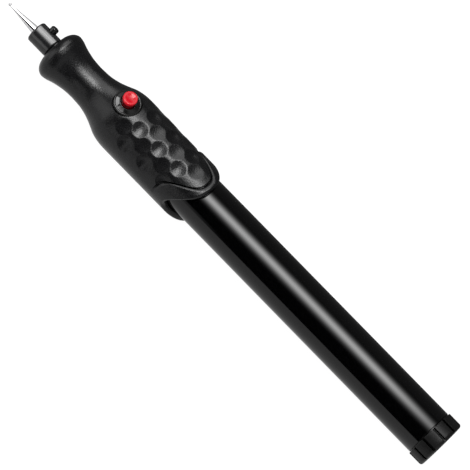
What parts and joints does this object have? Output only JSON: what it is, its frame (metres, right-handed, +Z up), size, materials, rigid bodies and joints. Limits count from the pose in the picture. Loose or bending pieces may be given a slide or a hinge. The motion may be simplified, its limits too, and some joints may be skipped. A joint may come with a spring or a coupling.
{
  "type": "electric engraving pen",
  "caption": "Cordless rotary engraving pen with a ball-tipped bit, dimpled soft grip, push button and screwed battery cap.",
  "frame": {"origin": "bottom centre of the box round the whole pen, on the surface that the grip rests on", "axes": "+X along the pen from the bit towards the end cap, +Z up through the push button, +Y to the far side"},
  "size_m": [0.1702, 0.0186, 0.0215],
  "materials": {
    "bit_steel": "polished",
    "black_steel": "satin blackened",
    "steel": "satin",
    "aluminium": "turned",
    "brass": "satin",
    "copper": "enamelled",
    "ferrite": "matte",
    "hard_plastic": "matte",
    "soft_grip": "soft satin",
    "tube_gloss": "high gloss",
    "cap_satin": "satin",
    "bezel_gloss": "high gloss",
    "button_red": "gloss",
    "cell_jacket": "plain printed-film sheen",
    "red_wire": "satin",
    "black_wire": "satin"
  },
  "bodies": {
    "pen_body": {"front_bush": "brass", "motor_can": "steel", "motor_bushing": "brass", "magnet_upper": "ferrite", "magnet_lower": "ferrite", "motor_end_bell": "hard_plastic", "brush_left": "brass", "brush_right": "brass", "housing_left": "hard_plastic", "housing_right": "hard_plastic", "grip_sleeve": "soft_grip", "battery_tube": "tube_gloss", "switch_body": "hard_plastic", "switch_bezel": "bezel_gloss", "button_spring": "steel", "switch_contact_left": "brass", "switch_contact_right": "brass", "contact_carrier": "hard_plastic", "positive_contact": "brass", "battery_cell_front": "cell_jacket", "battery_cell_rear": "cell_jacket", "ground_strip": "brass", "battery_wire": "red_wire", "motor_wire": "red_wire", "ground_wire": "black_wire"},
    "drive": {"chuck": "black_steel", "spindle": "steel", "shaft_coupling": "aluminium", "motor_shaft": "steel", "armature_core": "steel", "winding_1": "copper", "winding_2": "copper", "winding_3": "copper", "commutator": "copper"},
    "bit": {"engraving_bit": "bit_steel"},
    "screw": {"clamp_screw": "black_steel"},
    "button": {"button_cap": "button_red", "contact_bridge": "brass"},
    "tail_carriage": {"tail_contact": "brass", "tail_spring": "steel"},
    "cap": {"end_cap": "cap_satin"}
  },
  "joints": [
    {"name": "spindle_spin", "type": "hinge", "parent": "pen_body", "child": "drive", "pos_m": [0, 0, 0.00929], "axis": [1, 0, 0], "continuous": true},
    {"name": "bit_slide", "type": "slide", "parent": "drive", "child": "bit", "axis": [-1, 0, 0], "range_m": [0, 0.012]},
    {"name": "clamp_screw_turn", "type": "hinge", "parent": "drive", "child": "screw", "pos_m": [-0.07072, 0, 0.00929], "axis": [0, 0.7547, 0.6561], "range_deg": [0, 720]},
    {"name": "button_press", "type": "slide", "parent": "pen_body", "child": "button", "axis": [0, 0, -1], "range_m": [0, 0.0012], "stiffness_N_per_m": 300, "springref_m": -0.002, "deforming": ["button_spring"]},
    {"name": "cap_travel", "type": "slide", "parent": "pen_body", "child": "tail_carriage", "axis": [1, 0, 0], "range_m": [0, 0.0021]},
    {"name": "cap_turn", "type": "hinge", "parent": "tail_carriage", "child": "cap", "pos_m": [0, 0, 0.00929], "axis": [1, 0, 0], "range_deg": [0, 540]}
  ],
  "couplings": [
    {"joint": "cap_turn", "follows": "cap_travel", "rad_per_m": 4488}
  ]
}
